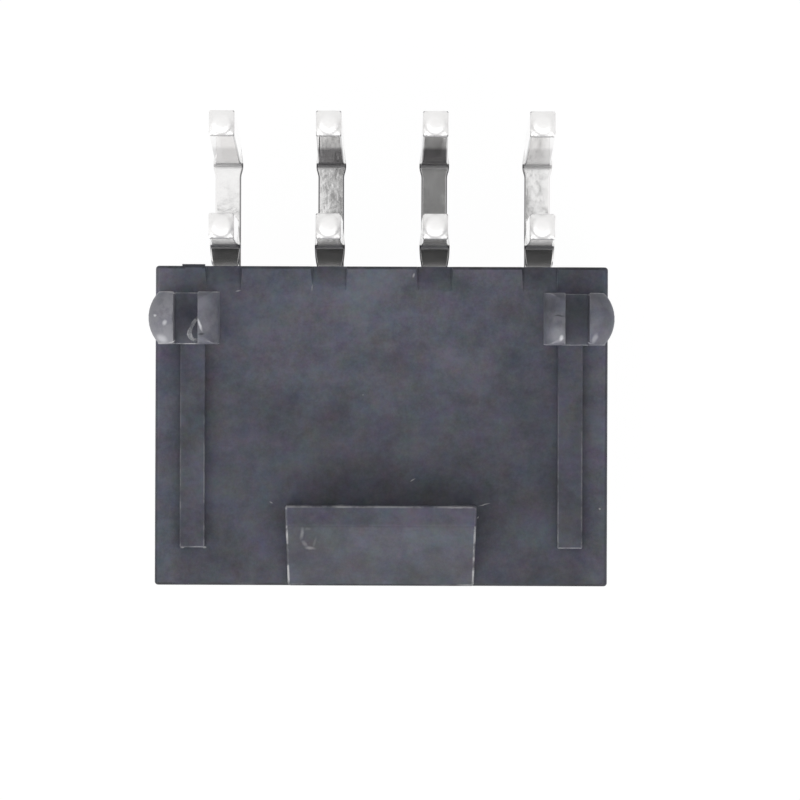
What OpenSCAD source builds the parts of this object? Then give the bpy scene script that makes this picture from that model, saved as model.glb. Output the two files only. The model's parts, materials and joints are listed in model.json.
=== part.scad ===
// Right-angle power pin header with two rows of square contacts in a shrouded housing.
// It lies on its flat face: the board side with the pegs and tails faces up (+Z),
// the mating face looks along -Y and the rows run along X. Millimetres throughout.

/* [Contact grid] */
// Contacts in each of the two rows
columns = 4; // [2:1:10]
// Spacing of the contacts along a row, and of the two rows
pitch = 4.2; // [4:0.05:5]

/* [Housing] */
// Plastic past the centre of the end contacts
end_margin = 2.7; // [2.5:0.05:4]
// Plastic past the centre of each row
row_margin = 2.7; // [2.5:0.05:4]
// Length from the mating face to the back face
depth = 12.7; // [11:0.1:16]
// Radius of the four long edges
edge_r = 0.2; // [0.1:0.05:0.5]

/* [Sockets] */
// Width and height of each contact's socket
socket = 3.4; // [2.8:0.1:3.6]
// Depth of the sockets behind the mating face
socket_depth = 9; // [7:0.1:10]
// Corner cut of the keyed sockets
key_cut = 0.9; // [0.4:0.1:1.2]
// Lead-in at the socket mouths
mouth_lead = 0.15; // [0.05:0.05:0.2]

/* [Latch ramp] */
// Width of the ramp at its catch face
ramp_w = 7.6; // [5:0.1:10]
// Narrowing of each side of the ramp towards the mating face
ramp_draft = 0.1; // [0:0.05:0.4]
// Length from the mating face to the catch face
ramp_l = 3.2; // [2:0.1:5]
// Length of the flat land in front of the catch face
ramp_land = 0.8; // [0.4:0.1:1.6]
// Height of the land above the board side
ramp_h = 1.4; // [0.8:0.1:2]
// Height of the ramp's nose at the mating face
ramp_nose = 0.25; // [0.1:0.05:0.6]

/* [Standoff ribs] */
// Width of a rib
rib_w = 1; // [0.6:0.1:1.6]
// Height of a rib, which is the gap between the housing and the board
rib_h = 0.45; // [0.3:0.05:0.8]
// Centre of a rib from the end of the housing
rib_inset = 1.5; // [1:0.1:2.2]
// Bare length between the rib and the mating face
rib_gap = 1.5; // [0.8:0.1:4]

/* [Board pegs] */
// Peg axis from the end of the housing
peg_inset = 1.3; // [1.2:0.05:1.8]
// Peg axis from the back face
peg_setback = 2.1; // [1.6:0.1:4]
// Reach of a prong from the peg axis, below its barb
peg_r = 1.2; // [1:0.05:1.4]
// Distance across the two flats of the peg
peg_flat = 2.05; // [1.6:0.05:2.3]
// Width of the slot between the prongs
peg_slot = 0.95; // [0.6:0.05:1.2]
// How far the round outer barb stands out from its prong
barb_out = 0.28; // [0.1:0.02:0.3]
// How far the straight inner barb stands out from its prong
barb_in = 0.12; // [0.1:0.02:0.3]
// Thickness of the board that the barbs snap under
board_t = 1.6; // [1.2:0.1:2.4]
// Play between the board and the barbs
board_play = 0.15; // [0.05:0.05:0.4]
// Rise from the stem to the widest part of a barb
barb_edge = 0.15; // [0.05:0.05:0.3]
// Height of the widest part of a barb
barb_band = 0.2; // [0.1:0.05:0.4]
// Length of the domed nose above the barb
peg_nose = 0.9; // [0.6:0.1:2]
// Reach of the flat tip of a prong from the peg axis
peg_tip_r = 0.55; // [0.5:0.05:1]
// Rounding of the nose towards the two flats
peg_round = 0.35; // [0.1:0.05:0.5]
// Height of the pad under the peg
pad_h = 0.35; // [0.1:0.05:0.4]
// Height of the slot's floor above the pad
slot_step = 0.25; // [0.1:0.05:0.5]

/* [Contact pins] */
// Side of the square wire
wire = 1.05; // [0.8:0.05:1.2]
// Distance of the pin's mating tip behind the mating face
pin_recess = 2; // [1:0.1:3]
// Length of the tapered mating tip
pin_tip_l = 1; // [0.6:0.1:1.5]
// Width of the end of the mating tip
pin_tip_w = 0.5; // [0.3:0.05:0.7]
// Gap between the wire and its hole on each side
pin_fit = 0.02; // [0.01:0.01:0.05]
// How far each retention wing stands out from the wire
wing_out = 0.15; // [0.08:0.01:0.25]
// Length of a retention wing's slope
wing_l = 0.8; // [0.4:0.1:1.2]
// Thickness of a retention wing
wing_t = 0.5; // [0.3:0.1:0.8]

/* [Solder tails] */
// Inner radius of the bend
bend_r = 0.18; // [0.1:0.02:0.4]
// Swelling of the metal on each side of the bend
bend_swell = 0.09; // [0.04:0.01:0.15]
// Length over which the metal swells on each side of the bend
swell_l = 0.4; // [0.2:0.1:0.8]
// Front of the short tails behind the back face
short_reach = 0.84; // [0.6:0.02:2]
// Front of the long tails behind the back face
long_reach = 4.26; // [3.4:0.02:7]
// Backward lean of the short tails, in degrees
short_lean = 1.4; // [0:0.1:8]
// Backward lean of the long tails, in degrees
long_lean = 4.4; // [0:0.1:8]
// Length of the tails past the ribs, which seat on the board
tail_out = 3.5; // [2.5:0.1:5]
// How much narrower than the wire a tail is where its nose starts
tail_taper = 0.05; // [0:0.01:0.1]
// Length of the domed nose of a tail
tail_nose_l = 0.45; // [0.2:0.05:0.8]
// Width of the flat end of the nose
tail_tip_w = 0.35; // [0.2:0.05:0.6]

/* [Back edge recesses] */
// Width of the shallow recess over each short pin
notch_w = 1.35; // [0.8:0.05:2]
// Length of the recess from the back face
notch_l = 1; // [0.4:0.1:1.05]
// Depth of the recess at the back face
notch_d = 0.3; // [0.1:0.05:0.6]

/* [Gate mark] */
// Width of the mark that the moulding gate left on the back face
gate_w = 0.9; // [0.4:0.1:2]
// Height of the gate mark below the board side
gate_h = 0.7; // [0.3:0.1:2]
// How far the gate mark stands out
gate_out = 0.07; // [0.03:0.01:0.15]
// Centre of the gate mark from the end of the housing
gate_inset = 1.5; // [1:0.1:4]

/* [Hidden] */
$fn = 48;
cut = 0.5;
width = (columns - 1) * pitch + 2 * end_margin;
height = pitch + 2 * row_margin;
front = -depth / 2;
back = depth / 2;
far_row = row_margin;
near_row = row_margin + pitch;
back_wall = depth - socket_depth;
seat = height + rib_h;
tail_end = seat + tail_out;
peg_x = width / 2 - peg_inset;
peg_y = back - peg_setback;
barb_z = rib_h + board_t + board_play;
peg_top = barb_z + barb_edge + barb_band + peg_nose;
slot_floor = pad_h + slot_step;
half_wire = wire / 2;
bend_z = half_wire + bend_r;
tail_w = wire - tail_taper;
bend_steps = 12;
nose_steps = 8;
// Half outline of a tail's nose, through points of [half width, length]
tail_nose = quarter(tail_tip_w / 2, 0, (tail_w - tail_tip_w) / 2, tail_nose_l);
beyond = 4 * depth;

function column_x(i) = (i - (columns + 1) / 2) * pitch;

// Keyed sockets alternate with plain ones away from the middle, the rows out of step
function from_middle(i) = floor(abs(i - (columns + 1) / 2));
function is_keyed(i, near) = (from_middle(i) % 2 == 0) != near;

// Outline that is the same on both sides of X = 0, through stations of [Y, half width]
module even_outline(stations) {
    last = len(stations) - 1;
    polygon(concat(
        [for (k = [0:last]) [stations[k][1], stations[k][0]]],
        [for (k = [last:-1:0]) [-stations[k][1], stations[k][0]]]
    ));
}

// Rectangle with round corners, centred across X and standing on Y = 0
module rounded_section(w, h, r) {
    translate([-w / 2, r]) square([w, h - 2 * r]);
    translate([-w / 2 + r, 0]) square([w - 2 * r, h]);
    for (x = [-w / 2 + r, w / 2 - r])
        for (y = [r, h - r])
            translate([x, y]) circle(r);
}

// Outline of a socket, keyed ones with two corners cut on the upper side
module socket_section(keyed) {
    half = socket / 2;
    key = half - key_cut;
    upper = keyed
        ? [[half, key], [key, half], [-key, half], [-half, key]]
        : [[half, half], [-half, half]];
    polygon(concat([[-half, -half], [half, -half]], upper));
}

// Socket with a flared mouth, its keyed side turned away from the other row
module socket_cut(i, near) {
    keyed = is_keyed(i, near);
    flare = 1 + 4 * mouth_lead / socket;
    translate([column_x(i), front, near ? near_row : far_row]) rotate([90, near ? 0 : 180, 0]) {
        translate([0, 0, -socket_depth]) linear_extrude(socket_depth) socket_section(keyed);
        translate([0, 0, -mouth_lead])
            linear_extrude(2 * mouth_lead, scale = flare) socket_section(keyed);
    }
}

// Retention wings of a pin in the middle of the back wall, grown by a clearance
module wings(grow) {
    translate([0, back - back_wall / 2, -wing_t / 2 - grow]) linear_extrude(wing_t + 2 * grow)
        even_outline([
            [-wing_l - grow, half_wire - wing_out + grow],
            [wing_l + grow, half_wire + wing_out + grow]
        ]);
}

// Way for a pin through the back wall
module pin_hole() {
    side = wire + 2 * pin_fit;
    translate([-side / 2, back - back_wall - cut, -side / 2])
        cube([side, back_wall + 2 * cut, side]);
    wings(pin_fit);
}

// Block with a gate mark, and over each short pin a recess that deepens towards the back face
module body() {
    translate([gate_inset - width / 2 - gate_w / 2, back - cut, height - gate_h])
        cube([gate_w, cut + gate_out, gate_h]);
    difference() {
        translate([0, back, 0]) rotate([90, 0, 0])
            linear_extrude(depth) rounded_section(width, height, edge_r);
        for (i = [1:columns])
            translate([column_x(i), back, height]) rotate([90, 0, 90])
                linear_extrude(notch_w, center = true) polygon([
                    [-notch_l, 0], [cut, -notch_d * (1 + cut / notch_l)], [cut, cut], [-notch_l, cut]
                ]);
    }
}

// Ramp with a flat land, a square catch face and a sloped lead-in, drawn in towards its nose
module latch_ramp() {
    top = height + ramp_h;
    intersection() {
        rotate([90, 0, 90]) linear_extrude(ramp_w, center = true) polygon([
            [front, height - cut], [front + ramp_l, height - cut], [front + ramp_l, top],
            [front + ramp_l - ramp_land, top], [front, height + ramp_nose]
        ]);
        linear_extrude(top + cut) polygon([
            [ramp_draft - ramp_w / 2, front], [ramp_w / 2 - ramp_draft, front],
            [ramp_w / 2, front + ramp_l], [-ramp_w / 2, front + ramp_l]
        ]);
    }
}

module rib() {
    start = front + rib_gap;
    translate([width / 2 - rib_inset - rib_w / 2, start, height - cut])
        cube([rib_w, peg_y - peg_flat / 2 - start, rib_h + cut]);
}

// Quarter of an ellipse from [x + w, y] up to [x, y + h]
function quarter(x, y, w, h) =
    [for (k = [0:nose_steps]) let (a = 90 * k / nose_steps) [x + w * cos(a), y + h * sin(a)]];

// Half outline of a prong: stem, barb and domed nose
module prong_outline(barb) {
    out = peg_r + barb;
    polygon(concat(
        [[0, -cut], [peg_r, -cut], [peg_r, barb_z], [out, barb_z + barb_edge]],
        quarter(peg_tip_r, peg_top - peg_nose, out - peg_tip_r, peg_nose),
        [[0, peg_top]]
    ));
}

// Outline of a peg seen along the housing: two flats, and a nose rounded off towards them
module peg_outline() {
    half = peg_flat / 2;
    shoulder = quarter(half - peg_round, peg_top - peg_round, peg_round, peg_round);
    even_outline(concat([[-cut, half]], [for (p = shoulder) [p[1], p[0]]]));
}

// Split snap-in peg on its pad: a round outer prong and a straight inner one
module peg() {
    translate([peg_x, peg_y, height]) {
        translate([-peg_r, -peg_flat / 2, -cut]) cube([2 * peg_r, peg_flat, pad_h + cut]);
        difference() {
            intersection() {
                union() {
                    rotate([0, 0, -90]) rotate_extrude(angle = 180) prong_outline(barb_out);
                    rotate([90, 0, 180])
                        linear_extrude(peg_flat, center = true) prong_outline(barb_in);
                }
                rotate([90, 0, 90]) linear_extrude(4 * peg_r, center = true) peg_outline();
            }
            translate([-peg_slot / 2, -peg_flat, slot_floor])
                cube([peg_slot, 2 * peg_flat, peg_top]);
        }
    }
}

module housing() {
    color("#4b4c54") difference() {
        union() {
            body();
            latch_ramp();
            for (side = [0, 1]) mirror([side, 0, 0]) {
                rib();
                peg();
            }
        }
        for (i = [1:columns]) {
            socket_cut(i, true);
            socket_cut(i, false);
            translate([column_x(i), 0, near_row]) pin_hole();
            translate([column_x(i), 0, far_row]) pin_hole();
        }
    }
}

function bend_arc(start, radius, angles) =
    [for (a = angles) [start + radius * cos(a), bend_z + radius * sin(a)]];

// Side view of a pin: tapered mating tip, blade, bend and leaning tail with a domed nose
module pin_side(start, lean, tail_l) {
    tip = front + pin_recess;
    step = (90 - lean) / bend_steps;
    along = [sin(lean), cos(lean)];
    outward = [cos(lean), -sin(lean)];
    root = [start, bend_z] + bend_z * outward;
    neck = root + (tail_l - tail_nose_l) * along;
    polygon(concat(
        [[tip, pin_tip_w / 2], [tip, -pin_tip_w / 2], [tip + pin_tip_l, -half_wire]],
        bend_arc(start, bend_r + wire, [for (k = [0:bend_steps]) k * step - 90]),
        [for (p = tail_nose) neck + p[1] * along + p[0] * outward],
        [for (k = [nose_steps:-1:0]) neck + tail_nose[k][1] * along - tail_nose[k][0] * outward],
        bend_arc(start, bend_r, [for (k = [bend_steps:-1:0]) k * step - 90]),
        [[tip + pin_tip_l, half_wire]]
    ));
}

// One contact. Its views from the side, from above and from the end are intersected, and
// across the bend its sides slope, because the metal swells inside the bend and thins outside
module pin(x, row, reach, lean) {
    wide = half_wire + bend_swell;
    thin = half_wire - bend_swell / 2;
    tip = front + pin_recess;
    start = back + reach - bend_r;
    root_z = bend_z - bend_z * sin(lean);
    end_z = tail_end - row;
    tail_l = (end_z - root_z) / cos(lean);
    color("silver") translate([x, 0, row]) {
        intersection() {
            rotate([90, 0, 90])
                linear_extrude(2 * wide, center = true) pin_side(start, lean, tail_l);
            linear_extrude(beyond, center = true) even_outline([
                [tip, pin_tip_w / 2], [tip + pin_tip_l, half_wire],
                [start - swell_l, half_wire], [start, wide], [beyond, wide]
            ]);
            rotate([90, 0, 0]) linear_extrude(beyond, center = true) even_outline([
                [-wire, wide], [root_z, wide], [root_z + swell_l, half_wire],
                each [for (p = tail_nose) [end_z - tail_nose_l + p[1], p[0]]],
                [end_z + wire, tail_tip_w / 2]
            ]);
            translate([0, start, bend_z]) rotate([-(90 + lean) / 2, 0, 0])
                linear_extrude(beyond, center = true) even_outline([
                    [-beyond, wide], [bend_r, wide], [bend_r + wire, thin], [bend_r + 2 * wire, thin]
                ]);
        }
        wings(0);
    }
}

housing();
for (i = [1:columns]) {
    pin(column_x(i), near_row, short_reach, short_lean);
    pin(column_x(i), far_row, long_reach, long_lean);
}
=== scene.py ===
# Looks of a right-angle pin header: worn grey nylon and bright tinned pins, seen from its board side.
import json
import math
from collections import namedtuple

import bmesh
import bpy
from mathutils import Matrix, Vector


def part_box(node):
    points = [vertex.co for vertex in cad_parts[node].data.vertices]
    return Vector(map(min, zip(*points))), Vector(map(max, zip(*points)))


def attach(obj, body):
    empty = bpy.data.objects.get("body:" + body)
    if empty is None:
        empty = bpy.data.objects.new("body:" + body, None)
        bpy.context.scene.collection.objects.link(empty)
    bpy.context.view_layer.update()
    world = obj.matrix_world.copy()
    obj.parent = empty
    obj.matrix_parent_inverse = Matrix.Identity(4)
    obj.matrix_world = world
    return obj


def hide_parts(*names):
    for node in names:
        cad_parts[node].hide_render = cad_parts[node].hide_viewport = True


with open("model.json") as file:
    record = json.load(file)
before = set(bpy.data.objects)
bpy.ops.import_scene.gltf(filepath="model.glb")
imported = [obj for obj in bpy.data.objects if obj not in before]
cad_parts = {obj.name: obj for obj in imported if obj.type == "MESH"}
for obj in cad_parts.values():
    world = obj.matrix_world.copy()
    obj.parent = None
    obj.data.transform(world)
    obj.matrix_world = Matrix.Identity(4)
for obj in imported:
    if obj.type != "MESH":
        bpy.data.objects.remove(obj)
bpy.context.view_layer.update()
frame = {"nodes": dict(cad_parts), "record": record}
MM = 0.001
MOUNTS = {m["name"]: Vector(m["pos_m"]) for m in frame["record"]["mounts"]}
HOUSING_LOW, HOUSING_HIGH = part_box("housing")
FRONT = MOUNTS["mating_face"].y
BACK = -FRONT
BOARD_SIDE = 2 * MOUNTS["mating_face"].z
PEG_X = MOUNTS["board_peg_right"].x
PEG_Y = MOUNTS["board_peg_right"].y
HALF_WIDTH = 9 * MM
PITCH = 4.2 * MM
UP = Vector((0, 0, 1))
WHITE = (1, 1, 1, 1)

# Signs of a rectangle's four corners, in turn
RECTANGLE = ((-1, -1), (1, -1), (1, 1), (-1, 1))

# The camera looks straight down at the board side, a little off the housing's middle
CAMERA_ASIDE = Vector((0.738, 1.039, 0)) * MM
CAMERA_ROOM = 250 * MM
CAMERA_TURN = math.radians(0.22)
FIELD_AT_BOARD_SIDE = 31.83 * MM
SENSOR = 36

# Light levels, as the brightness that each gives a white level surface, the key's as if it were small
AMBIENT = 0.6
KEY = 0.66
KEY_ROOM = 0.5
KEY_SIZE = (1.4, 0.35)
KEY_HEIGHT = math.radians(35)
KEY_SWING = math.radians(-12)

# Share of white at the horizon, the height where it is full, and how far back mirrored rays find it full
HORIZON = 0.4
HORIZON_TOP = 0.4
WHITE_BEHIND = (0.1, 0.6)

# Grey paper that glows for direct and mirrored rays, so that it looks white and keeps a faint shadow
FLOOR_HALF = 3
FLOOR_DROP = 0.01 * MM
FLOOR_GREY = 0.6
FLOOR_GLOW = 1.06
FLOOR_GLOW_SHARE = 0.92

# Dark camera body and grey camera post, which the bright metal mirrors
BODY_HALF = (40 * MM, 13.4 * MM)
BODY_GREY = 0.1
POST_HALF = (7.6 * MM, 95 * MM)
POST_ASIDE = 1.6 * MM
POST_GREY = 0.4
CARD_BEHIND = 3 * MM

# Dark strip low over the short pins' stubs, which they mirror
FLAG_MIDDLE = Vector((0.738, 7.775, 30)) * MM
FLAG_HALF = (12 * MM, 0.625 * MM)
FLAG_GREY = 0.12

# Rounded edges of the moulding
OUTLINE_EDGE = 0.13 * MM
RAISED_EDGE = 0.07 * MM
RAMP_EDGE = 0.1 * MM
PEG_EDGE = 0.045 * MM
MOUTH_EDGE = 0.03 * MM
EDGE_STEPS = 4
SHARP_ANGLE = math.radians(25)
FLAT_ANGLE = math.radians(0.5)
SAME_PLACE = 0.001 * MM
ON_FACE = 0.01 * MM

# Places on the moulding
CORNER_R = 0.2 * MM
MOUTH_DEPTH = 0.2 * MM
RECESS = 0.31 * MM
RECESS_ZONE = HALF_WIDTH - MM
RAMP_HALF = 3.85 * MM
RAMP_SIDE_ZONE = 0.4 * MM
RAMP_LENGTH = 3.2 * MM
RAMP_LAND = 0.8 * MM
RIB_TOP = 0.5 * MM
PEG_ZONE = 6 * MM
PEG_HALF = 1.1 * MM
PEG_END = 0.92 * MM
PEG_FOOT = 1.2 * MM

# Rubbing with painted highlights on edges, painted shade on edges and in hollows, and paleness with painted
# sheen on the pegs; a peg's outer prong comes before its inner one
CATCH_WEAR_AND_HIGHLIGHT = 0.5
RAMP_SIDE_WEAR_AND_HIGHLIGHT = 1
RIB_WEAR_AND_HIGHLIGHT = 0.3
PRONG_WEAR_AND_HIGHLIGHT = 0.1
PEG_END_WEAR_AND_HIGHLIGHT = {"left": 0.9, "right": 0.35}
OUTLINE_PAINTED_SHADE = 0.8
HOLLOW_PAINTED_SHADE = 0.4
# Painted light on the pegs' feet and in their slots, which lifts the shade there
PEG_FOOT_PAINTED_LIGHT = 0.15
PRONG_PALENESS_AND_SHEEN = {"left": (1, 0.42), "right": (0.25, 0.34)}

# Colours of the nylon, of its paleness with painted sheen, its rubbing and scuffs with painted highlights,
# its dark spots and painted shade, its roughness and how strongly it is stained
NYLON_DARK = (0.04, 0.0415, 0.0535, 1)
NYLON_LIGHT = (0.1, 0.103, 0.1325, 1)
NYLON_PALE_AND_SHEEN = (0.25, 0.25, 0.275, 1)
NYLON_WORN_AND_HIGHLIT = (0.45, 0.45, 0.46, 1)
NYLON_SCUFFED_AND_HIGHLIT = (0.42, 0.42, 0.43, 1)
PEG_SCUFFED_AND_HIGHLIT = (0.65, 0.65, 0.68, 1)
PEG_SPOTTED = (0.03, 0.03, 0.037, 1)
PAINTED_EDGE_SHADE = (0.01, 0.01, 0.013, 1)
NYLON_ROUGHNESS = (0.4, 0.54)
STAIN = 0.8

# Painted light and shade on the nylon, as factors, and the spans in millimetres over which they come in;
# RECESS_WALL_TILT is a span of the sideways part of the normal
TOP = BOARD_SIDE / MM
CATCH = (FRONT + RAMP_LENGTH) / MM
RIDGE = CATCH - RAMP_LAND / MM
# Painted light towards the back and beyond the ribs, painted shade towards the right; on the ramp, painted
# shade on the slope and painted light on the land
BACK_PAINTED_LIGHT = 1.4
BACK_SPAN = (-1.5, 5.5)
RIGHT_PAINTED_SHADE = 0.88
RIGHT_SPAN = (1, 8)
MARGIN_PAINTED_LIGHT = 1.3
MARGIN_SPAN = (7.8, 8.5)
RAMP_FOOT = (TOP + 0.02, TOP + 0.1)
RAMP_SIDE = (3.85, 3.95)
RAMP_BACK = (CATCH + 0.05, CATCH + 0.15)
SLOPE_PAINTED_SHADE = (0.87, 0.94)
SLOPE_SPAN = (-6.3, -4.3)
LAND_PAINTED_LIGHT = 1.1
LAND_STEP = (RIDGE - 0.01, RIDGE + 0.01)
# Painted light on the recesses' steep walls and painted shade on their floors
RECESS_FRONT = (5.25, 5.4)
RECESS_LEVEL = (TOP - 0.45, TOP - 0.35)
RECESS_WALL_PAINTED_LIGHT = 1.7
RECESS_WALL_SPAN = (1.2, 1.3)
RECESS_WALL_TILT = (0.1, 0.6)
RECESS_FLOOR_PAINTED_SHADE = 0.8
RECESS_FLOOR_SPAN = (1.45, 1.8)
RECESS_FLOOR_DEPTH = (5.2, 6.2)
# Painted sheen on the pegs, lighter at their front ends where highlights fall
PEG_PAINTED_SHEEN = (1.15, 0.85)
PEG_SPAN = (3.4, 5)

# Spans in millimetres that bound the ramp's land, its ridge and the rims of the board side, which carry
# painted shade;
# one value is the share of rubbing and painted highlight that is left beside the land
LAND_FROM = (RIDGE - 0.02, RIDGE + 0.02)
LAND_TO = (CATCH - 0.2, CATCH - 0.1)
LAND_SIDE_RUB_AND_HIGHLIGHT = 0.2
RIDGE_FROM = (RIDGE - 0.17, RIDGE - 0.11)
RIDGE_TO = (RIDGE + 0.11, RIDGE + 0.17)
RIDGE_SIDE = (3.68, 3.73)
RIM_SPAN = (BACK / MM - 0.11, BACK / MM - 0.03)
RIM_LEVEL = (TOP - 0.15, TOP - 0.05)

# Values of a noise between which patches fade, and the levels that they fade between
CLOUD_EDGES = (0.25, 0.75)
PATCH_EDGES = (0.36, 0.64)
RUB_AND_HIGHLIGHT_EDGES = (0.38, 0.62)
PALE_AND_SHEEN_LEVELS = (0.55, 1.35)
WORN_AND_HIGHLIT_LEVELS = (0.1, 1)
PAINTED_SHADE_LEVELS = (0.55, 1)

# Pale scuffs on the board side, with two painted highlights along the ramp's catch edge, in millimetres:
# place, half length, half width, turn and strength
SCUFFS_AND_CATCH_HIGHLIGHTS = (
    (-3.13, -4.25, 0.36, 0.11, 1.45, 0.4),
    (-3.02, -4.66, 0.26, 0.11, -0.9, 0.25),
    (-2.8, -4.84, 0.28, 0.1, -0.1, 0.4),
    (-2.62, -4.6, 0.32, 0.09, 1.3, 0.12),
    (-2.9, -4.1, 0.2, 0.1, 0.2, 0.14),
    # Painted highlights along the ramp's catch edge
    (-1.6, -3.19, 0.4, 0.07, 0.0, 0.85),
    (3.1, -3.19, 0.8, 0.07, 0.0, 0.85),
    (1.26, -2.15, 0.15, 0.03, 0.5, 0.75),
    (4.1, -3.12, 0.3, 0.03, 0.25, 0.6),
    (3.85, -3.63, 0.07, 0.04, 1.0, 0.6),
    (-4.38, -3.07, 0.1, 0.04, -0.5, 0.5),
    (8.7, -3.26, 0.06, 0.05, 0.0, 0.7),
    (-5.72, 5.36, 0.16, 0.04, 0.2, 0.6),
    (-2.78, 5.5, 0.2, 0.04, 1.5, 0.5),
    (1.25, 6.0, 0.12, 0.06, 1.1, 0.6),
    (-0.74, 1.24, 0.05, 0.03, 0.3, 0.4),
    (-7.0, -4.85, 0.1, 0.06, 0.2, 0.7),
    (-7.9, -4.85, 0.12, 0.05, 0.1, 0.6),
)

# Pale scuffs and painted highlights, and dark spots, near the tops of the pegs, given in the same way
PEG_TOP = 12.5
PEG_SCUFFS_AND_HIGHLIGHTS = (
    (-7.13, 3.97, 0.36, 0.07, -1.19, 1.0),
    (-8.9, 4.34, 0.09, 0.06, 0.2, 0.9),
    (-8.5, 4.03, 0.16, 0.12, 1.0, 0.7),
    (-8.64, 3.42, 0.34, 0.2, -0.5, 0.6),
    # Painted highlights and glow at the front ends of the right peg's prongs
    (6.9, 3.62, 0.55, 0.5, 0.4, 0.2),
    (7.06, 3.5, 0.2, 0.12, 1.1, 0.95),
    (8.38, 3.5, 0.3, 0.14, 1.2, 0.35),
)
PEG_SPOTS = (
    (6.72, 4.8, 0.62, 0.5, 0.0, 0.5),
    (6.98, 4.37, 0.3, 0.05, 0.0, 0.7),
    (-7.08, 3.6, 0.17, 0.07, 0.1, 0.8),
)
SPECK_HALF_HEIGHT = 3
SPECK_CORE = 0.2
RAGGEDNESS = 0.12

# Curl of torn plastic in the left peg's slot in millimetres: place, height and thickness of each section
TORN = (
    (-7.24, 4.28, 12.3, 0.12, 0.06), (-7.3, 4.18, 12.42, 0.2, 0.12), (-7.4, 4.02, 12.48, 0.26, 0.15),
    (-7.46, 3.9, 12.5, 0.3, 0.1), (-7.53, 3.74, 12.52, 0.36, 0.16), (-7.55, 3.6, 12.5, 0.34, 0.2),
    (-7.5, 3.47, 12.48, 0.3, 0.17), (-7.41, 3.38, 12.44, 0.28, 0.12), (-7.28, 3.35, 12.4, 0.22, 0.15),
    (-7.18, 3.4, 12.34, 0.16, 0.1),
)

# Square wire of the pins, from the mating tip to the back wall, where it fills its hole
WIRE = 1.05 * MM
WIRE_ROUND = 0.07 * MM
MATING_TIP = 1 * MM
MATING_TIP_WIDTH = 0.5 * MM
TIP_ROUND = 0.15
TIP_STEPS = 6
HOLE = 1.09 * MM
TIGHT_FROM = BACK - 0.9 * MM
TIGHT_TO = BACK - 0.3 * MM
WING_MIDDLE = BACK - 1.85 * MM
WING_LENGTH = 0.8 * MM
WING_OUT = 0.15 * MM
WING_HALF = 0.25 * MM

# Bend behind the housing, which swells sideways; before it a swelling's length and how soon it is full
REACH = {"short": 0.84 * MM, "long": 4.25 * MM}
BEND_INNER = 0.1 * MM
BEND_STEPS = 16
BEND_SWELL = 0.09 * MM
INNER_SWELL = 0.75
STUB_SWELL = {"short": (0.68 * MM, 0.5), "long": (0.4 * MM, 1)}
STUB_SHARES = (0, 0.15, 0.3, 0.5, 0.75, 1)

# Tails that lean back a little and end in a domed nose
LEAN = {"short": math.radians(1.4), "long": math.radians(4.4)}
TAIL_SWELL_LENGTH = 0.4 * MM
TAIL_SHARES = (0.25, 0.5, 0.75, 1)
TAIL_WIDTH = 0.997 * MM
TAIL_END = MOUNTS["board_seat_left"].z + 3.5 * MM
TAIL_NOSE = 0.4 * MM
TAIL_FLAT = 0.35 * MM
TAIL_CROWN = 0.012 * MM
NOSE_STEPS = 12
NOSE_ROUND = 0.15
NOSE_ROUNDING = 2
CROWN_SHARES = (0.75, 0.5, 0.25, 0.05)

# How far the bend is darkened, as dull tin with painted shade, near the wall, midway and near the tail, the
# steps between these, and corners darkened likewise
CREASE_DULL_AND_SHADE = {"short": (0.64, 0.32, 0.16), "long": (0, 0, 0)}
CREASE_STEPS = (4, 7)
CORNER_DULL_AND_SHADE = {"middle": 0.95, "outer": 0.8}
CORNER_FROM = 0.87
ALMOST = 0.999

# How satin the wire is along its way
TIP_SATIN = 0.4
WALL_SATIN = {"short": 0.45, "long": 0}
STUB_SATIN = 0.3
CREASE_SATIN = {"short": 1.5, "long": 2.2}
NOSE_SATIN = 1.4

# Colours of the tin; the dark ones are dull tin with painted shade, and painted dark reflection with its
# specular tint
TIN_DIM = (0.88, 0.87, 0.865, 1)
TIN_BRIGHT = (0.96, 0.955, 0.95, 1)
TIN_DULL_AND_SHADE = (0.1, 0.098, 0.104, 1)
TIN_PAINTED_REFLECTION = (0.1, 0.098, 0.105, 1)
PAINTED_REFLECTION_TINT = (0.35, 0.34, 0.35, 1)

# Where painted shade and painted dark reflection lie on the inner sides of the long tails, in millimetres,
# and how far;
# one span is of the smears, over which the painted reflection comes out
LONG_TAIL_SPAN = (10.3, 10.6)
OUTER_SPAN = (3.5, 5)
OUTER_SHARE = 0.25
SHADE = 0.5
SHADE_SPAN = (8.9, 13)
PAINTED_REFLECTION = 0.95
PAINTED_REFLECTION_FROM = (3.2, 3.8)
PAINTED_REFLECTION_TO = (8.3, 10)
PAINTED_REFLECTION_SMEAR = (0.3, 0.6)
PAINTED_REFLECTION_LEVELS = (0.8, 1)

# Streaks to a millimetre along each axis, roughness over a span of the smears, and the span of satin marks
# over which the tin looks less metallic
STREAKS = (6, 0.7, 0.7)
TIN_SMEAR = (0.35, 0.7)
TIN_ROUGHNESS = (0.05, 0.09)
SATIN_ROUGHNESS = 0.4
SATIN_SPAN = (1.2, 2.2)
SATIN_METALLIC = 0.45

# A pin's section: its middle, the direction to the inside of the bend, half its width, a limit to its half
# width and how round this is, a swelling, how far it is darkened as dull tin with painted shade, and how
# satin its surface is
Station = namedtuple(
    "Station", "middle inward half limit roundness swell dull satin", defaults=(0, 0, 0, 0),
)


def add(tree, kind, inputs=None, **settings):
    """A new node with its settings, and its inputs set to values or linked to other nodes' outputs."""
    made = tree.nodes.new(kind)
    for name, value in settings.items():
        setattr(made, name, value)
    for key, value in (inputs or {}).items():
        if isinstance(value, bpy.types.NodeSocket):
            tree.links.new(value, made.inputs[key])
        else:
            made.inputs[key].default_value = value
    return made


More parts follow.
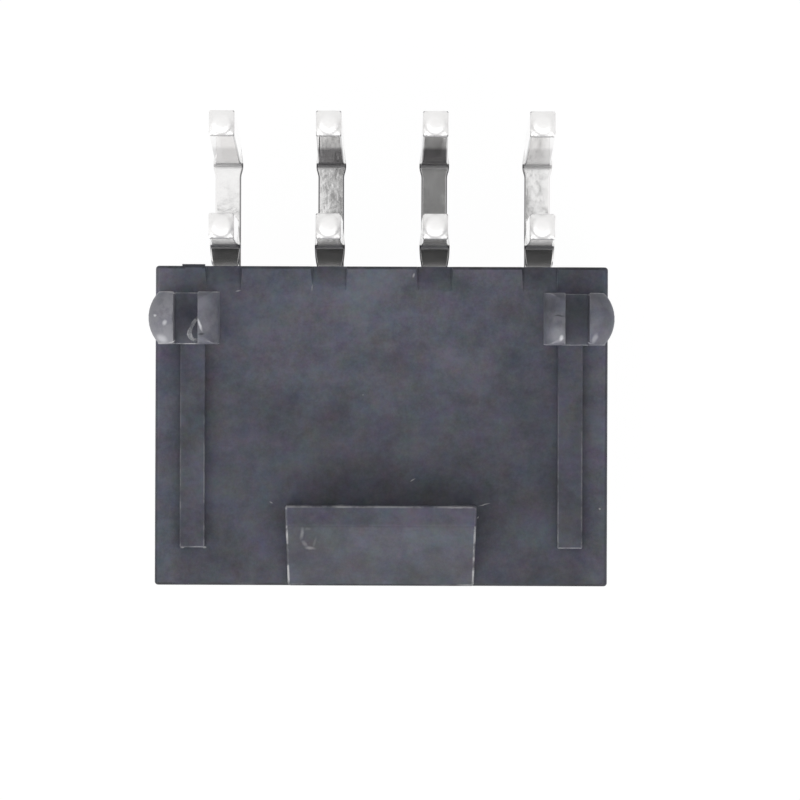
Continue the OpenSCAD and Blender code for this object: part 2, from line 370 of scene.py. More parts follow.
def new_material(name):
    """An empty node material, its tree and its output node."""
    material = bpy.data.materials.new(name)
    material.use_nodes = True
    material.node_tree.nodes.clear()
    return material, material.node_tree, add(material.node_tree, "ShaderNodeOutputMaterial")


def object_mm(tree):
    """Place on the object in millimetres."""
    place = add(tree, "ShaderNodeTexCoord").outputs["Object"]
    return scaled(tree, place, 1 / MM)


def parts(tree, vector):
    """The three parts of a vector."""
    return add(tree, "ShaderNodeSeparateXYZ", {0: vector}).outputs


def absolute(tree, value):
    """A value without its sign."""
    return add(tree, "ShaderNodeMath", {0: value}, operation="ABSOLUTE").outputs[0]


def noise(tree, place, scale, detail, roughness):
    """Cloudy pattern from 0 to 1, with so many waves to a millimetre."""
    inputs = {"Vector": place, "Scale": scale, "Detail": detail, "Roughness": roughness}
    return add(tree, "ShaderNodeTexNoise", inputs).outputs["Fac"]


def spread(tree, value, low, high, to_low=0.0, to_high=1.0):
    """A value's span from low to high, stretched to another span and held inside it."""
    inputs = {"Value": value, "From Min": low, "From Max": high, "To Min": to_low, "To Max": to_high}
    return add(tree, "ShaderNodeMapRange", inputs, interpolation_type="SMOOTHSTEP").outputs[0]


def between(tree, value, first, last):
    """1 from the end of the first span to the start of the last one, and 0 outside both."""
    return times(tree, spread(tree, value, *first), spread(tree, value, *last, 1, 0))


def toned(tree, share, level):
    """A factor that is 1 where the share is 0, and the level where it is 1."""
    return spread(tree, share, 0, 1, 1, level)


def times(tree, *values):
    """Product of several values."""
    product = values[0]
    for value in values[1:]:
        product = add(tree, "ShaderNodeMath", {0: product, 1: value}, operation="MULTIPLY").outputs[0]
    return product


def most(tree, *values):
    """Largest of several values."""
    largest = values[0]
    for value in values[1:]:
        largest = add(tree, "ShaderNodeMath", {0: largest, 1: value}, operation="MAXIMUM").outputs[0]
    return largest


def blend(tree, share, first, second):
    """Two colours mixed by a share."""
    mix = add(tree, "ShaderNodeMix", data_type="RGBA")
    for socket, value in zip((mix.inputs[0], mix.inputs[6], mix.inputs[7]), (share, first, second)):
        if isinstance(value, bpy.types.NodeSocket):
            tree.links.new(value, socket)
        else:
            socket.default_value = value
    return mix.outputs[2]


def mark(tree, name):
    """A mark that the vertices of a mesh carry."""
    return add(tree, "ShaderNodeAttribute", attribute_name=name).outputs["Fac"]


def scaled(tree, vector, level):
    """A colour or a place times a factor."""
    return add(tree, "ShaderNodeVectorMath", {0: vector, "Scale": level}, operation="SCALE").outputs[0]


def specks(tree, place, height, marks):
    """Small oval marks near a height."""
    shares = []
    for x, y, long, wide, turn, strength in marks:
        away = add(tree, "ShaderNodeMapping", {
            "Vector": place,
            "Location": (x, y, height),
            "Rotation": (0, 0, turn),
            "Scale": (long, wide, SPECK_HALF_HEIGHT),
        }, vector_type="TEXTURE").outputs[0]
        reach = add(tree, "ShaderNodeVectorMath", {0: away}, operation="LENGTH").outputs["Value"]
        shares.append(spread(tree, reach, SPECK_CORE, 1, strength, 0))
    return most(tree, *shares)


def ragged(tree, place):
    """A place shifted a little at random, which gives marks uneven outlines."""
    stir = add(tree, "ShaderNodeTexNoise", {"Vector": place, "Scale": 3, "Detail": 4}).outputs["Color"]
    inputs = {0: stir, 1: (0.5, 0.5, 0.5)}
    shift = add(tree, "ShaderNodeVectorMath", inputs, operation="SUBTRACT").outputs[0]
    return add(tree, "ShaderNodeVectorMath", {0: place, 1: scaled(tree, shift, RAGGEDNESS)}).outputs[0]


def stained(tree, colour, place):
    """A colour with faint clouds of other tints."""
    inputs = {"Vector": place, "Scale": 1, "Detail": 4, "Roughness": 0.85}
    clouds = add(tree, "ShaderNodeTexNoise", inputs).outputs["Color"]
    inputs = {0: clouds, 1: (STAIN,) * 3, 2: (1 - STAIN / 2,) * 3}
    tints = add(tree, "ShaderNodeVectorMath", inputs, operation="MULTIPLY_ADD").outputs[0]
    return add(tree, "ShaderNodeVectorMath", {0: colour, 1: tints}, operation="MULTIPLY").outputs[0]


def ramp_share(tree, y, z, aside):
    """1 on the latch ramp and 0 elsewhere."""
    before_back = spread(tree, y, *RAMP_BACK, 1, 0)
    return times(tree, spread(tree, z, *RAMP_FOOT), spread(tree, aside, *RAMP_SIDE, 1, 0), before_back)


def recess_painted_light_and_shade(tree, x, y, z):
    """Factor that paints shade on the floors of the recesses over the short pins and paints light on their
    steep walls.
    """
    from_gap = add(tree, "ShaderNodeMath", {0: x, 1: PITCH / MM / 2}, operation="PINGPONG").outputs[0]
    tilt = absolute(tree, parts(tree, add(tree, "ShaderNodeNewGeometry").outputs["True Normal"])[0])
    near = times(tree, spread(tree, y, *RECESS_FRONT), spread(tree, z, *RECESS_LEVEL))
    wall = times(
        tree, near, spread(tree, from_gap, *RECESS_WALL_SPAN), spread(tree, tilt, *RECESS_WALL_TILT),
    )
    floor = times(
        tree, near, spread(tree, from_gap, *RECESS_FLOOR_SPAN), spread(tree, y, *RECESS_FLOOR_DEPTH),
    )
    return times(tree, toned(tree, wall, RECESS_WALL_PAINTED_LIGHT), toned(tree, floor, RECESS_FLOOR_PAINTED_SHADE))


def painted_light_tone(tree, x, y, z, aside, on_ramp):
    """Factor of painted light and shade: lighter towards the back, beyond the ribs and on the ramp's land,
    darker towards the right and on the ramp's slope, with the recesses' painted light and shade.
    """
    slope = spread(tree, y, *SLOPE_SPAN, *SLOPE_PAINTED_SHADE)
    return times(
        tree,
        spread(tree, y, *BACK_SPAN, 1, BACK_PAINTED_LIGHT),
        spread(tree, x, *RIGHT_SPAN, 1, RIGHT_PAINTED_SHADE),
        spread(tree, aside, *MARGIN_SPAN, 1, MARGIN_PAINTED_LIGHT),
        toned(tree, on_ramp, spread(tree, y, *LAND_STEP, slope, LAND_PAINTED_LIGHT)),
        recess_painted_light_and_shade(tree, x, y, z),
    )


def pale_and_sheen_share(tree, place, y):
    """How light the pegs are, by paleness with painted sheen: in patches, and most at their front ends
    where the painted highlights fall.
    """
    patchy = spread(tree, noise(tree, place, 1.6, 5, 0.7), *PATCH_EDGES, *PALE_AND_SHEEN_LEVELS)
    return times(tree, mark(tree, "pale_and_sheen"), patchy, spread(tree, y, *PEG_SPAN, *PEG_PAINTED_SHEEN))


def wear_and_highlight_share(tree, place, y, aside, on_ramp):
    """How far edges are rubbed and carry painted highlights: in patches, little beside the ramp's land and
    not along its ridge.
    """
    patchy = spread(tree, noise(tree, place, 1.2, 5, 0.65), *RUB_AND_HIGHLIGHT_EDGES, *WORN_AND_HIGHLIT_LEVELS)
    land_side = times(tree, on_ramp, between(tree, y, LAND_FROM, LAND_TO))
    along_ridge = between(tree, y, RIDGE_FROM, RIDGE_TO)
    ridge = times(tree, on_ramp, along_ridge, spread(tree, aside, *RIDGE_SIDE, 1, 0))
    spared = times(tree, toned(tree, land_side, LAND_SIDE_RUB_AND_HIGHLIGHT), toned(tree, ridge, 0))
    return times(tree, mark(tree, "worn_and_highlit"), patchy, spared)


def painted_shade_share(tree, place, y, z):
    """How much painted shade lies on marked places and on the front and back rims of the board side, in
    patches.
    """
    patchy_shade = spread(tree, noise(tree, place, 1.3, 4, 0.6), *PATCH_EDGES, *PAINTED_SHADE_LEVELS)
    near_rim = spread(tree, absolute(tree, y), *RIM_SPAN, 0, OUTLINE_PAINTED_SHADE)
    rim = times(tree, near_rim, spread(tree, z, *RIM_LEVEL))
    return times(tree, most(tree, mark(tree, "painted_shade"), rim), patchy_shade)


def housing_plastic():
    """Grey nylon, clouded and stained, with painted light and shade from place to place, pegs lightened in
    patches with painted sheen, rubbed edges with painted highlights, painted shade along edges and in
    hollows, scuffs with painted highlights and a fine grain.
    """
    material, tree, output = new_material("housing_plastic")
    place = object_mm(tree)
    x, y, z = parts(tree, place)
    aside = absolute(tree, x)
    on_ramp = ramp_share(tree, y, z, aside)
    clouds = spread(tree, noise(tree, place, 0.3, 7, 0.8), *CLOUD_EDGES)
    base = blend(tree, clouds, NYLON_DARK, NYLON_LIGHT)
    # Painted light and shade from place to place
    base = scaled(tree, base, painted_light_tone(tree, x, y, z, aside, on_ramp))
    base = stained(tree, base, place)
    # Paleness with painted sheen on the pegs
    base = blend(tree, pale_and_sheen_share(tree, place, y), base, NYLON_PALE_AND_SHEEN)
    # Rubbed edges with painted highlights
    base = blend(tree, wear_and_highlight_share(tree, place, y, aside, on_ramp), base, NYLON_WORN_AND_HIGHLIT)
    # Painted shade along edges, in hollows and on the rims
    base = blend(tree, painted_shade_share(tree, place, y, z), base, PAINTED_EDGE_SHADE)
    uneven = ragged(tree, place)
    base = blend(tree, specks(tree, uneven, PEG_TOP, PEG_SPOTS), base, PEG_SPOTTED)
    # Scuffs, some of them painted highlights
    base = blend(tree, specks(tree, uneven, TOP, SCUFFS_AND_CATCH_HIGHLIGHTS), base, NYLON_SCUFFED_AND_HIGHLIT)
    base = blend(tree, specks(tree, uneven, PEG_TOP, PEG_SCUFFS_AND_HIGHLIGHTS), base, PEG_SCUFFED_AND_HIGHLIT)
    grain = noise(tree, place, 9, 3, 0.7)
    bump = add(tree, "ShaderNodeBump", {"Height": grain, "Strength": 0.25, "Distance": 0.02 * MM})
    patches = spread(tree, noise(tree, place, 0.9, 4, 0.6), *PATCH_EDGES)
    shader = add(tree, "ShaderNodeBsdfPrincipled", {
        "Base Color": base,
        "Roughness": spread(tree, patches, 0, 1, *NYLON_ROUGHNESS),
        "Specular IOR Level": 0.3,
        "Normal": bump.outputs[0],
    })
    tree.links.new(shader.outputs[0], output.inputs[0])
    return material


def tinned_wire():
    """Bright tin, streaked, wavy and smeared, darkened as dull tin with painted shade at marked places, and
    with painted shade and painted dark reflection on the long tails' inner sides.
    """
    material, tree, output = new_material("tinned_wire")
    place = object_mm(tree)
    x, y, z = parts(tree, place)
    satin = mark(tree, "satin")
    smear = noise(tree, place, 2.2, 5, 0.65)
    # Painted shade and painted dark reflection on the long tails' inner sides, less on the outer columns;
    # the reflection also tints the specular
    column = spread(tree, absolute(tree, x), *OUTER_SPAN, 1, OUTER_SHARE)
    on_tail = times(tree, mark(tree, "inner"), spread(tree, y, *LONG_TAIL_SPAN), column)
    shade = times(tree, on_tail, spread(tree, z, *SHADE_SPAN, SHADE, 0))
    smeared = spread(tree, smear, *PAINTED_REFLECTION_SMEAR, *PAINTED_REFLECTION_LEVELS)
    painted_reflection = times(tree, on_tail, between(tree, z, PAINTED_REFLECTION_FROM, PAINTED_REFLECTION_TO), PAINTED_REFLECTION, smeared)
    base = blend(tree, smear, TIN_DIM, TIN_BRIGHT)
    # Dull tin with painted shade at the marked creases and corners, and painted shade on the long tails
    base = blend(tree, most(tree, mark(tree, "dull"), shade), base, TIN_DULL_AND_SHADE)
    base = blend(tree, painted_reflection, base, TIN_PAINTED_REFLECTION)
    along = add(tree, "ShaderNodeMapping", {"Vector": place, "Scale": STREAKS}).outputs[0]
    streaks = noise(tree, along, 1, 4, 0.6)
    rolled = add(tree, "ShaderNodeBump", {"Height": streaks, "Strength": 0.05, "Distance": 0.006 * MM})
    waves = noise(tree, place, 1.1, 3, 0.5)
    wavy = add(tree, "ShaderNodeBump", {
        "Height": waves, "Strength": 0.16, "Distance": 0.02 * MM, "Normal": rolled.outputs[0],
    })
    polish = spread(tree, smear, *TIN_SMEAR, *TIN_ROUGHNESS)
    shader = add(tree, "ShaderNodeBsdfPrincipled", {
        "Base Color": base,
        "Metallic": spread(tree, satin, *SATIN_SPAN, 1, SATIN_METALLIC),
        "Specular Tint": blend(tree, painted_reflection, WHITE, PAINTED_REFLECTION_TINT),
        "Roughness": most(tree, polish, times(tree, satin, SATIN_ROUGHNESS)),
        "Normal": wavy.outputs[0],
    })
    tree.links.new(shader.outputs[0], output.inputs[0])
    return material


def placed(name, data):
    """A new object in the scene."""
    made = bpy.data.objects.new(name, data)
    bpy.context.scene.collection.objects.link(made)
    return made


def shade_by_area(mesh):
    """Shading normals that stay flat on large faces and turn on the small ones between them."""
    faces = [(poly.normal.copy(), poly.area / MM ** 2, list(poly.vertices)) for poly in mesh.polygons]
    around = {}
    for normal, area, verts in faces:
        for vert in verts:
            around.setdefault(vert, []).append((normal, area))
    normals = []
    for normal, _, verts in faces:
        for vert in verts:
            near = [n * area ** 2 for n, area in around[vert] if n.dot(normal) > math.cos(SHARP_ANGLE)]
            normals.append(sum(near, Vector()).normalized())
    mesh.normals_split_custom_set(normals)


def new_piece(name, mesh, material, replaced=None):
    """An object of the header that rides on its only body, and may stand for a CAD node."""
    mesh.materials.clear()
    mesh.materials.append(material)
    piece = placed(name, mesh)
    shade_by_area(mesh)
    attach(piece, "root")
    if replaced:
        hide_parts(replaced)
    return piece


def housing_edge(edge):
    """How far an edge of the housing is rounded."""
    if len(edge.link_faces) != 2 or edge.calc_face_angle_signed() < SHARP_ANGLE:
        return 0
    x, y, z = (edge.verts[0].co + edge.verts[1].co) / 2
    if z > BOARD_SIDE + CORNER_R / 4:
        if abs(y - PEG_Y) < PEG_HALF and abs(x) > PEG_ZONE:
            return PEG_EDGE
        return RAMP_EDGE if abs(x) < RAMP_HALF + RAMP_EDGE else RAISED_EDGE
    if abs(x) > HALF_WIDTH - CORNER_R or z < CORNER_R or z > BOARD_SIDE - CORNER_R:
        by_recess = abs(x) < RECESS_ZONE and BOARD_SIDE - RECESS < z < BOARD_SIDE - CORNER_R / 4
        return OUTLINE_EDGE if abs(y) > BACK - ON_FACE and not by_recess else RAISED_EDGE
    return MOUTH_EDGE if y < FRONT + MOUTH_DEPTH else 0


def edge_marks(place):
    """How much rubbing with painted highlight, and how much painted shade, a rounded edge carries."""
    x, y, z = place
    if z < BOARD_SIDE + CORNER_R / 4:
        by_recess = abs(x) < RECESS_ZONE and 0 < y < BACK - CORNER_R
        return (0, 0) if by_recess else (0, OUTLINE_PAINTED_SHADE)
    if abs(x) < RAMP_HALF:
        if y > FRONT + RAMP_LENGTH - RAMP_EDGE:
            return CATCH_WEAR_AND_HIGHLIGHT, 0
        return (RAMP_SIDE_WEAR_AND_HIGHLIGHT, 0) if abs(x) > RAMP_HALF - RAMP_SIDE_ZONE else (0, 0)
    from_peg = abs(y - PEG_Y)
    if from_peg > PEG_HALF:
        return RIB_WEAR_AND_HIGHLIGHT, 0
    if from_peg < PEG_END:
        return PRONG_WEAR_AND_HIGHLIGHT, 0
    return PEG_END_WEAR_AND_HIGHLIGHT["left" if x < 0 else "right"], 0


def in_painted_shade(place):
    """Whether a place lies at the back of a recess, or half way round one of the long upper edges, where
    shade is painted.
    """
    drop = BOARD_SIDE - place.z
    in_recess = place.y > BACK - CORNER_R and RECESS / 2 < drop < RECESS and abs(place.x) < RECESS_ZONE
    on_edge = abs(place.x) > HALF_WIDTH - CORNER_R / 2 and CORNER_R / 8 < drop < CORNER_R * 7 / 8
    return in_recess or on_edge


def peg_paleness_and_sheen(place):
    """How light a prong of the two pegs is, by paleness with painted sheen, the left peg's outer one most;
    their feet carry painted light.
    """
    if place.z < BOARD_SIDE + RIB_TOP or abs(place.y - PEG_Y) > PEG_HALF:
        return 0
    if place.z < BOARD_SIDE + PEG_FOOT:
        return PEG_FOOT_PAINTED_LIGHT
    outer, inner = PRONG_PALENESS_AND_SHEEN["left" if place.x < 0 else "right"]
    return outer if abs(place.x) > PEG_X else inner


def cut_at_columns(form):
    """Cuts through the columns of openings and through the ribs, so that no flat face has a hole."""
    for place in (PITCH / 2, PITCH * 3 / 2, PEG_X):
        for x in (-place, place):
            everything = form.verts[:] + form.edges[:] + form.faces[:]
            made = bmesh.ops.bisect_plane(
                form, geom=everything, dist=SAME_PLACE, plane_co=(x, 0, 0), plane_no=(1, 0, 0),
            )
            for item in made["geom_cut"]:
                if isinstance(item, bmesh.types.BMEdge):
                    item.seam = True


def turn_folds(form):
    """Turns over those triangles that a fold at the rim of a face has left upside down."""
    folded = {}
    for corners in form.calc_loop_triangles():
        a, b, c = (loop.vert.co for loop in corners)
        face = corners[0].face
        if len(face.verts) > 4 and (b - a).cross(c - a).dot(face.normal) < 0:
            folded[face] = face.normal.copy()
    for face, normal in folded.items():
        for part in bmesh.ops.triangulate(form, faces=[face])["faces"]:
            part.normal_update()
            if part.normal.dot(normal) < 0:
                part.normal_flip()


def weighted_housing():
    """Copy of the housing's CAD mesh with whole flat faces and a bevel weight on each edge."""
    mesh = frame["nodes"]["housing"].data.copy()
    form = bmesh.new()
    form.from_mesh(mesh)
    bmesh.ops.remove_doubles(form, verts=form.verts, dist=SAME_PLACE)
    cut_at_columns(form)
    bmesh.ops.dissolve_limit(
        form, angle_limit=FLAT_ANGLE, verts=form.verts, edges=form.edges, delimit={"SEAM"},
    )
    weight = form.edges.layers.float.new("bevel_weight_edge")
    for edge in form.edges:
        edge[weight] = housing_edge(edge) / OUTLINE_EDGE
    form.to_mesh(mesh)
    form.free()
    return mesh


def bevelled(mesh):
    """A mesh with its weighted edges rounded, where the new faces have the second of two materials."""
    mesh.materials.clear()
    mesh.materials.append(None)
    mesh.materials.append(None)
    carrier = placed("carrier", mesh)
    bevel = carrier.modifiers.new("edges", "BEVEL")
    bevel.limit_method = "WEIGHT"
    bevel.width = OUTLINE_EDGE
    bevel.segments = EDGE_STEPS
    bevel.use_clamp_overlap = False
    bevel.material = 1
    evaluated = carrier.evaluated_get(bpy.context.evaluated_depsgraph_get())
    rounded = bpy.data.meshes.new_from_object(evaluated)
    bpy.data.objects.remove(carrier)
    return rounded


def rounded_housing():
    """The housing's mesh with rounded edges, which carries the marks of rubbing with painted highlights, of
    painted shade, and of paleness with painted sheen.
    """
    rounded = bevelled(weighted_housing())
    form = bmesh.new()
    form.from_mesh(rounded)
    worn_and_highlit = form.verts.layers.float.new("worn_and_highlit")
    painted_shade = form.verts.layers.float.new("painted_shade")
    pale_and_sheen = form.verts.layers.float.new("pale_and_sheen")
    for vert in form.verts:
        if all(face.material_index == 1 for face in vert.link_faces):
            vert[worn_and_highlit], vert[painted_shade] = edge_marks(vert.co)
        elif in_painted_shade(vert.co):
            vert[painted_shade] = HOLLOW_PAINTED_SHADE
        vert[pale_and_sheen] = peg_paleness_and_sheen(vert.co)
        for axis in range(3):
            vert.co[axis] = min(max(vert.co[axis], HOUSING_LOW[axis]), HOUSING_HIGH[axis])
    turn_folds(form)
    for face in form.faces:
        face.material_index = 0
        face.smooth = True
    form.to_mesh(rounded)
    form.free()
    rounded.set_sharp_from_angle(angle=SHARP_ANGLE)
    return rounded


def square_reach(direction, half, corner):
    """Distance from the middle of a square with round corners to its outline, in a direction."""
    u, v = abs(direction[0]), abs(direction[1])
    inner = half - corner
    if v * half <= inner * u:
        return half / u
    if u * half <= inner * v:
        return half / v
    middle = inner * (u + v)
    return middle + math.sqrt(middle ** 2 - 2 * inner ** 2 + corner ** 2)


def section_directions(half, corner, corner_steps=6, side_steps=6):
    """Directions from a square section's middle to points round its outline."""
    start = math.atan2(half - corner, half)
    angles = [start + (math.pi / 2 - 2 * start) * step / corner_steps for step in range(corner_steps)]
    angles += [math.pi / 2 - start + 2 * start * step / side_steps for step in range(side_steps)]
    turns = [angle + math.pi / 2 * quarter for quarter in range(4) for angle in angles]
    return [(math.cos(turn), math.sin(turn)) for turn in turns]


def eased(share):
    """A share from 0 to 1 that starts and ends gently."""
    return share ** 2 * (3 - 2 * share)


def mating_stations(kind, tip, x, row):
    """From the mating tip to the back wall."""
    half = WIRE / 2
    stations = []
    for step in range(TIP_STEPS + 1):
        share = step / TIP_STEPS
        middle = Vector((x, tip + MATING_TIP * share, row))
        limit = MATING_TIP_WIDTH / 2 * (1 - share) + half * share
        stations.append(Station(middle, UP, half, limit, TIP_ROUND, satin=TIP_SATIN))
    for y, size in ((TIGHT_FROM, WIRE), (TIGHT_FROM, HOLE), (TIGHT_TO, HOLE), (TIGHT_TO, WIRE)):
        stations.append(Station(Vector((x, y, row)), UP, size / 2, size / 2, satin=WALL_SATIN[kind]))
    return stations


def bend_stations(kind, x, row):
    """From outside the back wall to the end of the bend."""
    half = WIRE / 2
    start = BACK + REACH[kind] - BEND_INNER
    by_wall, midway, by_tail = CREASE_DULL_AND_SHADE[kind]
    length, power = STUB_SWELL[kind]
    stations = []
    for share in STUB_SHARES:
        middle = Vector((x, start - length * (1 - share), row))
        swell = BEND_SWELL * eased(share) ** power
        satin = WALL_SATIN[kind] * (1 - share) ** 2 + STUB_SATIN * share ** 3
        stations.append(Station(middle, UP, half, half, 0, swell, by_wall * share ** 4, satin))
    centre = Vector((x, start, row + half + BEND_INNER))
    for step in range(1, BEND_STEPS + 1):
        angle = (math.pi / 2 - LEAN[kind]) * step / BEND_STEPS
        inward = Vector((0, -math.sin(angle), math.cos(angle)))
        middle = centre - inward * (half + BEND_INNER)
        dull = by_wall if step < CREASE_STEPS[0] else midway if step < CREASE_STEPS[1] else by_tail
        stations.append(Station(middle, inward, half, half, 0, BEND_SWELL, dull, CREASE_SATIN[kind]))
    return stations


def tail_stations(kind, root, inward):
    """From the end of the bend to the top of the nose."""
    lean = LEAN[kind]
    along = Vector((0, math.sin(lean), math.cos(lean)))
    length = (TAIL_END - root.z) / math.cos(lean)
    neck = length - TAIL_NOSE
    half = TAIL_WIDTH / 2
    flat = TAIL_FLAT / 2
    stations = []
    for share in TAIL_SHARES:
        middle = root + along * TAIL_SWELL_LENGTH * share
        swell = BEND_SWELL * (1 - eased(share))
        dull = CREASE_DULL_AND_SHADE[kind][-1] * (1 - share)
        satin = CREASE_SATIN[kind] * (1 - share)
        stations.append(Station(middle, inward, WIRE / 2, WIRE / 2, 0, swell, dull, satin))
    stations.append(Station(root + along * (neck - TAIL_NOSE), inward, half, half))
    for step in range(NOSE_STEPS + 1):
        angle = math.pi / 2 * step / NOSE_STEPS
        middle = root + along * (neck + (TAIL_NOSE - TAIL_CROWN) * math.sin(angle))
        limit = flat + (half - flat) * math.cos(angle)
        roundness = min(1, NOSE_ROUND + NOSE_ROUNDING * math.sin(angle))
        stations.append(Station(middle, inward, half, limit, roundness, satin=NOSE_SATIN))
    for share in CROWN_SHARES:
        middle = root + along * (length - TAIL_CROWN * share ** 2)
        stations.append(Station(middle, inward, half, flat * share, 1, satin=NOSE_SATIN))
    return stations


def skin(form, rings):
    """Faces between rings of vertices that follow one another, and over the first and the last ring."""
    count = len(rings[0])
    for first, second in zip(rings, rings[1:]):
        for k in range(count):
            form.faces.new((first[k], first[(k + 1) % count], second[(k + 1) % count], second[k]))
    form.faces.new(rings[0])
    form.faces.new(rings[-1])


def smooth_mesh(name, form):
    """A new mesh made from a form, with its faces turned outwards and shaded smooth."""
    bmesh.ops.recalc_face_normals(form, faces=form.faces)
    for face in form.faces:
        face.smooth = True
    mesh = bpy.data.meshes.new(name)
    form.to_mesh(mesh)
    form.free()
    return mesh


def pin_mesh(name):
    """One contact: a square wire with round corners swept along its bend, and its two retention wings.
    Its vertices carry the marks of dullness with painted shade, satin and inner, the last on the side
    inside the bend."""
    low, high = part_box(name)
    kind = name.split("_")[0]
    x = (low[0] + high[0]) / 2
    row = low[2] + WIRE / 2
    corner_dull_and_shade = CORNER_DULL_AND_SHADE["middle" if abs(x) < PITCH else "outer"]
    stations = mating_stations(kind, low[1], x, row) + bend_stations(kind, x, row)
    stations += tail_stations(kind, stations[-1].middle, stations[-1].inward)
    form = bmesh.new()
    dull_and_shade_mark = form.verts.layers.float.new("dull")
    satin_mark = form.verts.layers.float.new("satin")
    inner_mark = form.verts.layers.float.new("inner")
    rings = []
    for middle, inward, half, limit, roundness, swell, dull, satin in stations:
        ring = []
        for u, v in section_directions(WIRE / 2, WIRE_ROUND):
            outline = square_reach((u, v), half, WIRE_ROUND)
            size = min(outline, square_reach((u, v), limit, limit * roundness))
            inside = v * size / half
            widen = 1 + swell / half * (inside * INNER_SWELL + 1 - INNER_SWELL)
            vert = form.verts.new(middle + Vector((u * size * widen, 0, 0)) + inward * v * size)
            # Corners are darkened as dull tin with painted shade where they face another pin
            on_corner = min(abs(u), abs(v)) > CORNER_FROM * max(abs(u), abs(v)) and limit == half
            faces_other_pin = abs(x) < PITCH or u * x < 0
            vert[dull_and_shade_mark] = max(dull, corner_dull_and_shade) if on_corner and faces_other_pin else dull
            vert[satin_mark] = satin
            vert[inner_mark] = 1 if v > ALMOST * abs(u) else 0
            ring.append(vert)
        rings.append(ring)
    skin(form, rings)
    add_wings(form, x, row)
    mesh = smooth_mesh(name, form)
    mesh.set_sharp_from_angle(angle=SHARP_ANGLE)
    return mesh


def add_wings(form, x, row):
    """Thin plate through the wire that widens towards the back."""
    corners = []
    for end, out in ((-1, -WING_OUT), (1, WING_OUT)):
        for side, level in RECTANGLE:
            place = (x + side * (WIRE / 2 + out), WING_MIDDLE + end * WING_LENGTH, row + level * WING_HALF)
            corners.append(form.verts.new(place))
    for side in ((0, 1, 2, 3), (4, 5, 6, 7), (0, 1, 5, 4), (1, 2, 6, 5), (2, 3, 7, 6), (3, 0, 4, 7)):
        form.faces.new([corners[k] for k in side])


def torn_flash():
    """Curl of torn plastic that hangs from a prong into the slot of the left peg, coloured all over like
    the edges' rubbing with painted highlights.
    """
    form = bmesh.new()
    worn_and_highlit = form.verts.layers.float.new("worn_and_highlit")
    rings = []
    for k, (x, y, z, tall, thick) in enumerate(TORN):
        before, after = TORN[max(k - 1, 0)], TORN[min(k + 1, len(TORN) - 1)]
        along = Vector((after[0] - before[0], after[1] - before[1], 0)).normalized()
        out = Vector((along.y, -along.x, 0)) * thick * MM / 2
        up = UP * tall * MM / 2
        middle = Vector((x, y, z)) * MM
        ring = [form.verts.new(middle + a * out + b * up) for a, b in RECTANGLE]
        for vert in ring:
            vert[worn_and_highlit] = 1
        rings.append(ring)
    skin(form, rings)
    return smooth_mesh("torn_flash", form)


def dress():
    """All pieces of the header: the moulding, its torn curl and the eight contacts."""
    plastic, wire = housing_plastic(), tinned_wire()
    new_piece("moulding", rounded_housing(), plastic, "housing")
    new_piece("torn_flash", torn_flash(), plastic)
    for name in frame["nodes"]:
        if name != "housing":
            new_piece(name.replace("pin", "contact"), pin_mesh(name), wire, name)


def make_world():
    """White overhead and dimmer towards the horizon, though metal mirrors a white one at the back.
    The camera itself sees plain white."""
    world = bpy.data.worlds.new("studio")
    bpy.context.scene.world = world
    world.use_nodes = True
    tree = world.node_tree
    tree.nodes.clear()
    _, backwards, height = parts(tree, add(tree, "ShaderNodeTexCoord").outputs["Generated"])
    tent = spread(tree, height, 0, HORIZON_TOP, HORIZON, 1)
    to_back = most(tree, tent, spread(tree, backwards, *WHITE_BEHIND))
    dim = add(tree, "ShaderNodeBackground", {"Color": WHITE, "Strength": times(tree, tent, AMBIENT)})
    mirrored = add(tree, "ShaderNodeBackground", {"Color": WHITE, "Strength": to_back})
    plain = add(tree, "ShaderNodeBackground", {"Color": WHITE, "Strength": 1})
    path = add(tree, "ShaderNodeLightPath").outputs
    glossy = most(tree, path["Is Glossy Ray"], path["Is Transmission Ray"])
    lit = add(tree, "ShaderNodeMixShader", {0: glossy, 1: dim.outputs[0], 2: mirrored.outputs[0]})
    to_camera = path["Is Camera Ray"]
    mix = add(tree, "ShaderNodeMixShader", {0: to_camera, 1: lit.outputs[0], 2: plain.outputs[0]})
    output = add(tree, "ShaderNodeOutputWorld")
    tree.links.new(mix.outputs[0], output.inputs[0])


def make_key():
    """Wide low strip of soft light in front of the mating face, a little to its left."""
    lamp = bpy.data.lights.new("key", "AREA")
    lamp.shape = "RECTANGLE"
    lamp.size, lamp.size_y = KEY_SIZE
    lamp.energy = KEY * math.pi ** 2 * KEY_ROOM ** 2 / math.sin(KEY_HEIGHT)
    key = placed("key", lamp)
    level = math.cos(KEY_HEIGHT)
    towards = Vector((level * math.sin(KEY_SWING), -level * math.cos(KEY_SWING), math.sin(KEY_HEIGHT)))
    key.location = towards * KEY_ROOM
    key.rotation_euler = towards.to_track_quat("Z", "Y").to_euler()


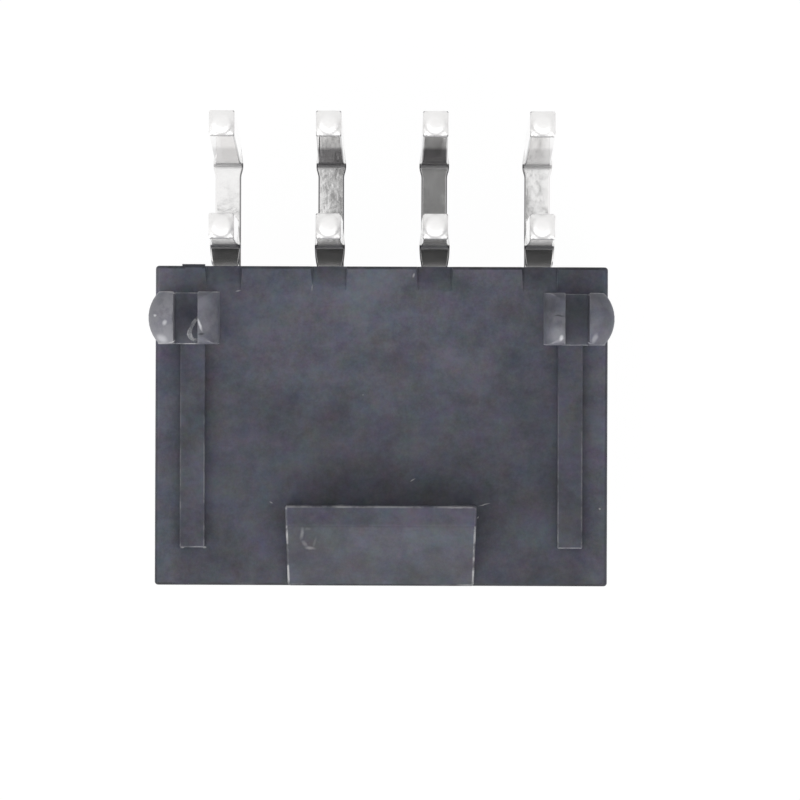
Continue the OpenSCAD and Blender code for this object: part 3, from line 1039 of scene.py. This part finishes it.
def make_camera():
    """The camera over the board side, with a lens that gives the photo's field."""
    data = bpy.data.cameras.new("camera")
    data.sensor_width = SENSOR
    data.lens = SENSOR * CAMERA_ROOM / FIELD_AT_BOARD_SIDE
    camera = placed("camera", data)
    camera.location = CAMERA_ASIDE + UP * (BOARD_SIDE + CAMERA_ROOM)
    camera.rotation_euler = (0, 0, CAMERA_TURN)
    bpy.context.scene.camera = camera
    return camera


def sheet(name, centre, half, material):
    """A level rectangle in the scene."""
    corners = [centre + Vector((x * half[0], y * half[1], 0)) for x, y in RECTANGLE]
    mesh = bpy.data.meshes.new(name)
    mesh.from_pydata(corners, [], [(0, 1, 2, 3)])
    mesh.materials.append(material)
    return placed(name, mesh)


def make_floor():
    """White paper under the header."""
    material, tree, output = new_material("floor")
    paper = add(tree, "ShaderNodeBsdfDiffuse", {"Color": (FLOOR_GREY, FLOOR_GREY, FLOOR_GREY, 1)})
    glow = add(tree, "ShaderNodeEmission", {"Color": WHITE, "Strength": FLOOR_GLOW})
    path = add(tree, "ShaderNodeLightPath").outputs
    direct = most(tree, path["Is Camera Ray"], path["Is Glossy Ray"], path["Is Transmission Ray"])
    share = times(tree, direct, FLOOR_GLOW_SHARE)
    mix = add(tree, "ShaderNodeMixShader", {0: share, 1: paper.outputs[0], 2: glow.outputs[0]})
    tree.links.new(mix.outputs[0], output.inputs[0])
    floor = sheet("floor", UP * -FLOOR_DROP, (FLOOR_HALF, FLOOR_HALF), material)


def make_card(name, centre, half, grey):
    """Card over the object that only mirrored rays see."""
    material, tree, output = new_material(name)
    matte = add(tree, "ShaderNodeBsdfDiffuse", {"Color": (grey, grey, grey, 1)})
    tree.links.new(matte.outputs[0], output.inputs[0])
    card = sheet(name, centre, half, material)
    card.visible_camera = False
    card.visible_shadow = False
    card.visible_diffuse = False


def make_cards(camera):
    """What the bright metal mirrors: the camera, its post and a dark strip."""
    behind = camera.location + UP * CARD_BEHIND
    make_card("camera_body", behind, BODY_HALF, BODY_GREY)
    make_card("camera_post", behind + Vector((POST_ASIDE, 0, CARD_BEHIND)), POST_HALF, POST_GREY)
    make_card("flag", FLAG_MIDDLE, FLAG_HALF, FLAG_GREY)


bpy.context.scene.view_settings.view_transform = "Standard"
dress()
make_world()
make_key()
make_floor()
make_cards(make_camera())
